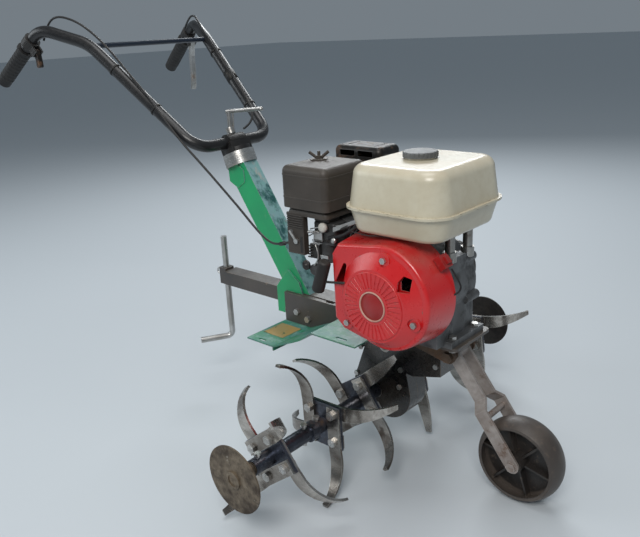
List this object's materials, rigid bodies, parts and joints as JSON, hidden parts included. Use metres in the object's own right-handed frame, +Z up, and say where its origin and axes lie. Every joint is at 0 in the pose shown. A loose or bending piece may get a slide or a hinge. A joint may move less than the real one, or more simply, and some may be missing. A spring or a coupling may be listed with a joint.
{
  "type": "walk-behind rotary tiller",
  "caption": "Walk-behind petrol tiller with sabre tines, end discs, a hinged transport wheel, a depth stake and a swivelling handlebar.",
  "frame": {"origin": "centre of the bounding box, on the ground the tines and wheel stand on", "axes": "+X forward towards the transport wheel, +Y to the machine's left (the belt side), +Z up"},
  "size_m": [1.3774, 0.87, 0.9231],
  "materials": {
    "black_frame": "worn semi-gloss black paint",
    "green_paint": "worn green enamel",
    "red_paint": "faded red enamel",
    "cream_tank": "stained cream enamel",
    "blue_bar": "dark blue enamel",
    "case_black": "black painted casting",
    "engine_alloy": "dull cast alloy",
    "tine_steel": "worn bare steel",
    "bright_steel": "zinc plated steel",
    "dark_steel": "oiled dark steel",
    "rust_steel": "rusty steel",
    "rubber": "matt black rubber",
    "wheel_plastic": "dusty hard moulding",
    "black_plastic": "black moulding",
    "brown_plastic": "faded black moulding",
    "grey_plastic": "grey moulding",
    "red_plastic": "red moulding",
    "chain_steel": "oiled chain"
  },
  "bodies": {
    "chassis": {"left_rail": "black_frame", "right_rail": "black_frame", "engine_deck": "black_frame", "drawbar": "black_frame", "frame_bolts": "bright_steel", "left_fender": "green_paint", "right_fender": "green_paint", "column": "green_paint", "index_ring": "bright_steel", "gear_case": "case_black", "gear_case_cover": "case_black", "shaft_bearings": "bright_steel", "drive_chain": "chain_steel", "crankcase": "engine_alloy", "side_cover": "engine_alloy", "cylinder_head": "engine_alloy", "spark_plug_cap": "rubber", "carburettor": "engine_alloy", "air_cleaner_base": "black_plastic", "air_cleaner_cover": "brown_plastic", "muffler": "rust_steel", "muffler_guard": "dark_steel", "fuel_tank": "cream_tank", "tank_posts": "dark_steel", "fan_cover": "red_paint", "recoil_housing": "red_paint", "engine_bolts": "bright_steel", "drive_belt": "rubber", "belt_guard": "black_frame", "wheel_bracket": "rust_steel", "control_cables": "black_plastic", "engine_switch": "red_plastic"},
    "tine_rotor": {"tine_axle": "bright_steel", "left_hubs": "tine_steel", "right_hubs": "tine_steel", "left_tines": "tine_steel", "right_tines": "tine_steel", "hub_discs": "rust_steel", "tine_bolts": "bright_steel"},
    "reduction_shaft": {"input_shaft": "bright_steel", "driven_pulley": "dark_steel"},
    "engine_shaft": {"crankshaft": "bright_steel", "flywheel": "case_black", "drive_pulley": "dark_steel"},
    "idler": {"belt_idler": "bright_steel"},
    "fork": {"wheel_fork": "tine_steel"},
    "transport_wheel": {"wheel": "wheel_plastic"},
    "stake": {"depth_stake": "bright_steel"},
    "handlebar_group": {"handlebar": "black_frame", "crossbar": "blue_bar", "grips": "rubber", "saddle": "case_black", "lever_clamps": "black_plastic", "bar_cables": "black_plastic"},
    "swivel_clamp": {"clamp_handle": "bright_steel"},
    "clutch": {"clutch_lever": "bright_steel"},
    "throttle": {"throttle_lever": "dark_steel"},
    "starter": {"starter_grip": "black_plastic"},
    "choke": {"choke_lever": "bright_steel"},
    "tank_cap": {"fuel_cap": "grey_plastic"}
  },
  "joints": [
    {"name": "tine_spin", "type": "hinge", "parent": "chassis", "child": "tine_rotor", "pos_m": [0.28473, 0, 0.136], "axis": [0, 1, 0], "continuous": true},
    {"name": "reduction_spin", "type": "hinge", "parent": "chassis", "child": "reduction_shaft", "pos_m": [0.30973, 0, 0.244], "axis": [0, 1, 0], "continuous": true},
    {"name": "crank_spin", "type": "hinge", "parent": "chassis", "child": "engine_shaft", "pos_m": [0.41473, 0, 0.418], "axis": [0, 1, 0], "continuous": true},
    {"name": "fork_pivot", "type": "hinge", "parent": "chassis", "child": "fork", "pos_m": [0.46773, 0, 0.268], "axis": [0, -1, 0], "range_deg": [-12, 40]},
    {"name": "wheel_spin", "type": "hinge", "parent": "fork", "child": "transport_wheel", "pos_m": [0.60573, 0, 0.083], "axis": [0, 1, 0], "continuous": true},
    {"name": "stake_slide", "type": "slide", "parent": "chassis", "child": "stake", "axis": [0, 0, 1], "range_m": [-0.1, 0.1]},
    {"name": "bar_swivel", "type": "hinge", "parent": "chassis", "child": "handlebar_group", "pos_m": [-0.11087, 0, 0.5785], "axis": [-0.3746, 0, 0.9272], "range_deg": [-25, 25], "deforming": ["control_cables"]},
    {"name": "clamp_turn", "type": "hinge", "parent": "handlebar_group", "child": "swivel_clamp", "pos_m": [-0.11087, 0, 0.5785], "axis": [-0.3746, 0, 0.9272], "range_deg": [0, 100]},
    {"name": "clutch_squeeze", "type": "hinge", "parent": "handlebar_group", "child": "clutch", "pos_m": [-0.53907, 0.23022, 0.84571], "axis": [0.1745, 0.9847, 0], "range_deg": [0, 34], "stiffness_Nm_per_rad": 1.5},
    {"name": "idler_swing", "type": "hinge", "parent": "chassis", "child": "idler", "pos_m": [0.32873, 0, 0.41], "axis": [0, -1, 0], "range_deg": [0, 10.2]},
    {"name": "throttle_turn", "type": "hinge", "parent": "handlebar_group", "child": "throttle", "pos_m": [-0.53907, -0.23022, 0.84571], "axis": [-0.1745, 0.9847, 0], "range_deg": [-10, 30]},
    {"name": "starter_pull", "type": "slide", "parent": "chassis", "child": "starter", "axis": [-0.9837, 0, -0.1799], "range_m": [0, 0.025], "stiffness_N_per_m": 300},
    {"name": "choke_turn", "type": "hinge", "parent": "chassis", "child": "choke", "pos_m": [0.21073, -0.166, 0.488], "axis": [0, 1, 0], "range_deg": [0, 50]},
    {"name": "cap_turn", "type": "hinge", "parent": "chassis", "child": "tank_cap", "pos_m": [0.42673, -0.067, 0.652], "axis": [0, 0, 1], "range_deg": [0, 90]}
  ],
  "couplings": [
    {"joint": "reduction_spin", "follows": "tine_spin", "ratio": 4},
    {"joint": "crank_spin", "follows": "tine_spin", "ratio": 5.7993},
    {"joint": "idler_swing", "follows": "clutch_squeeze", "ratio": 0.3}
  ]
}
